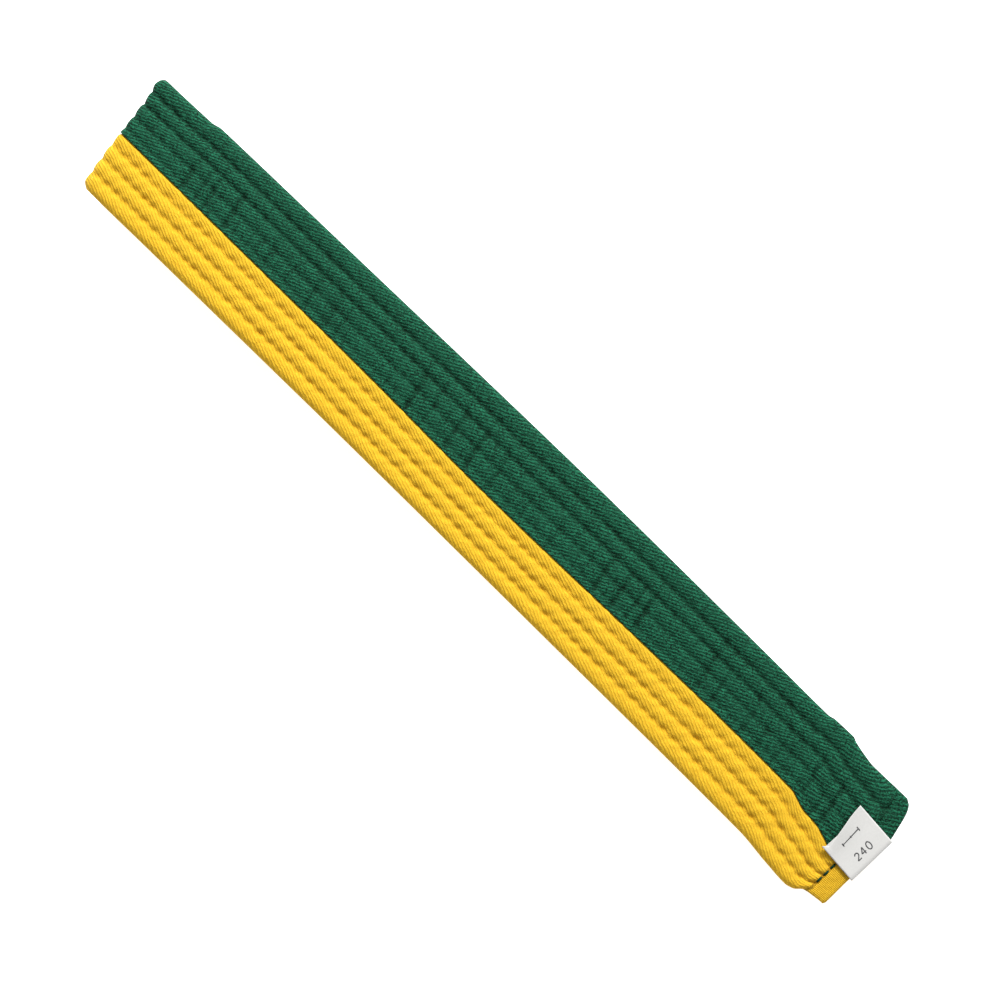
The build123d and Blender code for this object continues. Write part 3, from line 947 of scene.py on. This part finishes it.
def label_print():
    """A plain measuring line with end ticks, and the belt's length in centimetres as bare numerals."""
    width, high = 0.36, 0.02
    line_q, line_half = 4.0, 3.2
    tick, middle_tick = 0.7, 0.35
    number_q, tall = 9.5, 1.25
    ticks = ((-line_half, tick), (line_half, tick), (0, middle_tick))
    strokes = [[(line_q, -line_half), (line_q, line_half)]]
    strokes += [[(line_q - half, y), (line_q + half, y)] for y, half in ticks]
    two = arc_points(number_q - 0.5, -2.2, 0.65, 0.62, 165, -35)
    strokes.append([*two, (number_q + tall, -2.85), (number_q + tall, -1.5)])
    four = ((tall, 0.35), (-tall, 0.35), (0.45, -0.75), (0.45, 0.8))
    strokes.append([(number_q + down, y) for down, y in four])
    strokes.append(arc_points(number_q, 2.35, tall, 0.72, 0, 360, 17))
    parts = [stroke(points, width, high) for points in strokes]
    points, faces, caps = [], [], []
    first = 0
    for part in parts:
        rows, columns = part.shape[:2]
        flat = part.reshape(-1, 3)
        quads, ends = outward(flat, *loft_faces(rows, columns))
        points.append(flat)
        faces.append(quads + first)
        caps.append(ends + first)
        first += len(flat)
    piece = mesh_piece("size_label_print", np.concatenate(points), (np.concatenate(faces), np.concatenate(caps)), INK)
    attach(piece, "size_label")


def label_seam():
    """The four stitches that hold the label's tail under the belt's end."""
    share = np.linspace(0, 1, END_STITCH_POINTS)
    x = LABELLED_END_X - LABEL_SEAM_FROM_END
    z = TOP_Z - LABEL_TAIL_DROP - LABEL_THICKNESS / 2 + dive(share, LABEL_STITCH_DIVE)
    parts, runs = [], []
    for number in range(LABEL_STITCHES):
        y = (number - (LABEL_STITCHES - 1) / 2) * LABEL_STITCH_PITCH + LABEL_STITCH_LENGTH * (share - 0.5)

        def line(raised):
            return np.stack([np.full(len(share), x), y, z + raised], -1)

        parts.append(round_thread(line, LABEL_THREAD_RADIUS, aside=0))
        runs.append(y)
    piece = tube_piece("size_label_stitches", np.stack(parts), GREEN_THREAD, np.stack(runs))
    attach(piece, "layer_8")
    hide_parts("size_label_seam")


# ---------------------------------------------------------------- the studio

FLOOR_HALF = 25.0  # in metres, so that its edge is never seen
FLOOR_DROP = 0.0002  # just under the belt, in metres
FLOOR_WHITE = 0.92
FLOOR_GLOW = 0.75
KEY_TOWARDS = (-0.42, 0.82, 0.64)
KEY_DISTANCE = 1.6
KEY_SIZE = 0.5
KEY_POWER = 44
WORLD_LIGHT = 0.46  # what lights the belt
WORLD_SEEN = 1.0  # what the camera sees behind it


def floor():
    """A plain white table top that glows a little."""
    n = Nodes("floor_white")
    n.shader.inputs["Base Color"].default_value = (FLOOR_WHITE, FLOOR_WHITE, FLOOR_WHITE, 1)
    n.shader.inputs["Roughness"].default_value = 0.9
    n.shader.inputs["Emission Color"].default_value = (1, 1, 1, 1)
    n.shader.inputs["Emission Strength"].default_value = FLOOR_GLOW
    mesh = bpy.data.meshes.new("floor")
    corners = [(x * FLOOR_HALF, y * FLOOR_HALF, 0) for x, y in ((-1, -1), (1, -1), (1, 1), (-1, 1))]
    mesh.from_pydata(corners, [], [(0, 1, 2, 3)])
    mesh.materials.append(n.material)
    table = bpy.data.objects.new("floor", mesh)
    table.location.z = -FLOOR_DROP
    bpy.context.scene.collection.objects.link(table)


def area_light(name, towards, distance, size, power):
    """A square soft light that shines on the belt from a direction."""
    data = bpy.data.lights.new(name, "AREA")
    data.size = size
    data.energy = power
    light = bpy.data.objects.new(name, data)
    direction = Vector(towards).normalized()
    light.location = direction * distance
    light.rotation_mode = "QUATERNION"
    light.rotation_quaternion = direction.to_track_quat("Z", "Y")
    bpy.context.scene.collection.objects.link(light)


def studio():
    """White surroundings, and a large key light from the top of the picture."""
    world = bpy.data.worlds.new("studio")
    bpy.context.scene.world = world
    world.use_nodes = True
    tree = world.node_tree
    background = tree.nodes["Background"]
    background.inputs["Color"].default_value = (1, 1, 1, 1)
    ray = tree.nodes.new("ShaderNodeLightPath")
    strength = tree.nodes.new("ShaderNodeMapRange")
    strength.inputs["To Min"].default_value = WORLD_LIGHT
    strength.inputs["To Max"].default_value = WORLD_SEEN
    tree.links.new(ray.outputs["Is Camera Ray"], strength.inputs["Value"])
    tree.links.new(strength.outputs["Result"], background.inputs["Strength"])
    area_light("key", KEY_TOWARDS, KEY_DISTANCE, KEY_SIZE, KEY_POWER)
    bpy.context.scene.view_settings.view_transform = "Standard"


CAMERA_TARGET = (5.05, -0.61, TOP_Z)
CAMERA_DISTANCE = 600.0
CAMERA_TILT = 4.9  # degrees towards the labelled end
CAMERA_LENS = 73.74
PICTURE_TURN = -44.14  # degrees; the belt's length runs down to the right


def camera():
    """Almost straight above the belt, leaning a little towards the labelled end."""
    data = bpy.data.cameras.new("camera")
    data.lens = CAMERA_LENS
    data.clip_start = 0.05
    data.clip_end = 20.0
    tilt = math.radians(CAMERA_TILT)
    turn = math.radians(PICTURE_TURN)
    back = Vector((math.sin(tilt), 0, math.cos(tilt)))
    along = Vector((math.cos(tilt), 0, -math.sin(tilt)))
    aside = Vector((0, 1, 0))
    right = along * math.cos(turn) - aside * math.sin(turn)
    up = along * math.sin(turn) + aside * math.cos(turn)
    view = bpy.data.objects.new("camera", data)
    place_at = (Vector(CAMERA_TARGET) + back * CAMERA_DISTANCE) * MM
    view.matrix_world = Matrix.Translation(place_at) @ Matrix((right, up, back)).transposed().to_4x4()
    bpy.context.scene.collection.objects.link(view)
    bpy.context.scene.camera = view


camera()
for fold in range(1, LAYERS):
    for side in (1, -1):
        cover(fold, side)
        quilting(fold, side)
hem_row("hem_stitches_bottom", 1, "end_stitching_bottom")
hem_row("hem_stitches_top", LAYERS, "end_stitching_top")
size_label()
label_print()
label_seam()
floor()
studio()
